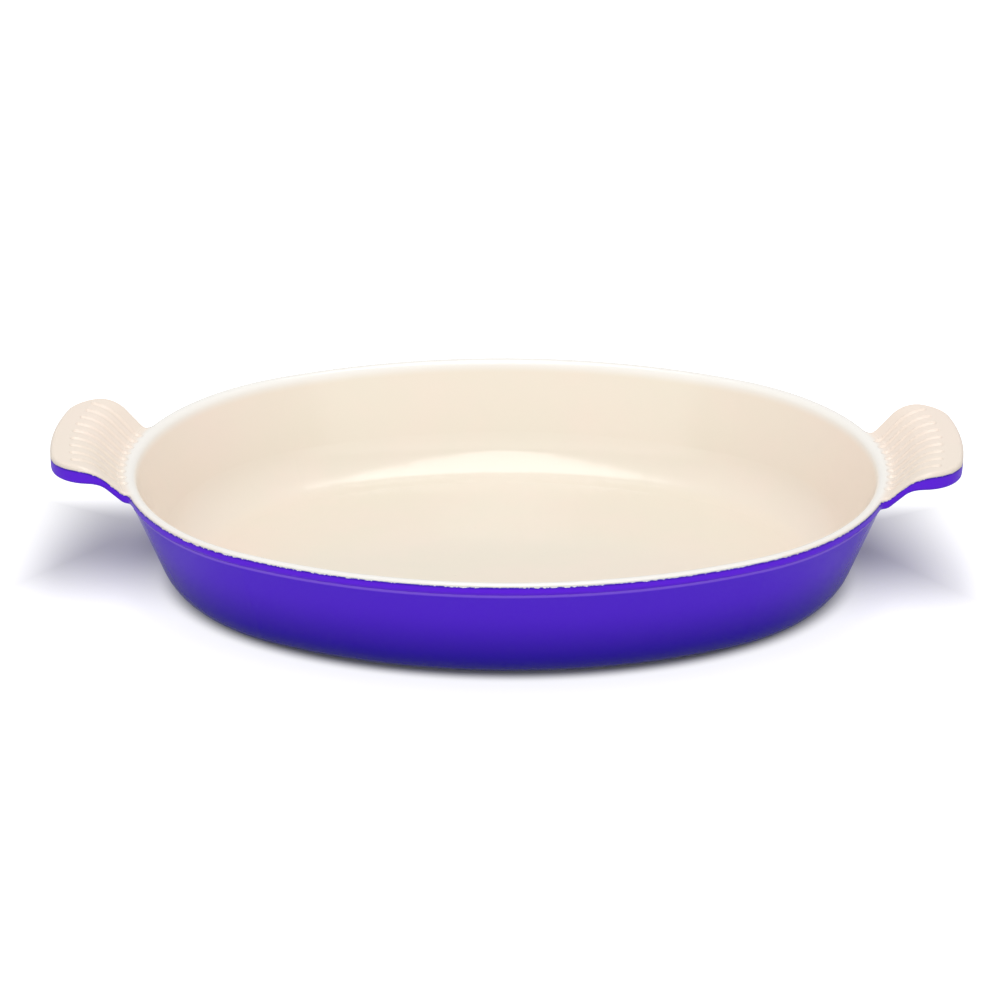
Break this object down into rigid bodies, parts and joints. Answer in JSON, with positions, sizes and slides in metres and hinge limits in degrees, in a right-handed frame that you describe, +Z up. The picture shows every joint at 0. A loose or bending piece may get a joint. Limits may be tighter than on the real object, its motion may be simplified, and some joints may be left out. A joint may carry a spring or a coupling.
{
  "type": "gratin dish",
  "caption": "Oval enamelled cast-iron gratin dish with sloping walls, a banded rim and a fluted, upturned handle at each end.",
  "frame": {"origin": "centre of the foot land, on the surface that the dish stands on", "axes": "+X along the dish from handle to handle, +Y across it, +Z up out of the open side"},
  "size_m": [0.36, 0.221, 0.0612],
  "materials": {
    "iron": "as cast, under enamel",
    "cream_enamel": "glossy glass enamel",
    "blue_enamel": "glossy glass enamel"
  },
  "bodies": {
    "root": {"iron_casting": "iron", "inner_enamel": "cream_enamel", "outer_enamel": "blue_enamel"}
  },
  "joints": []
}
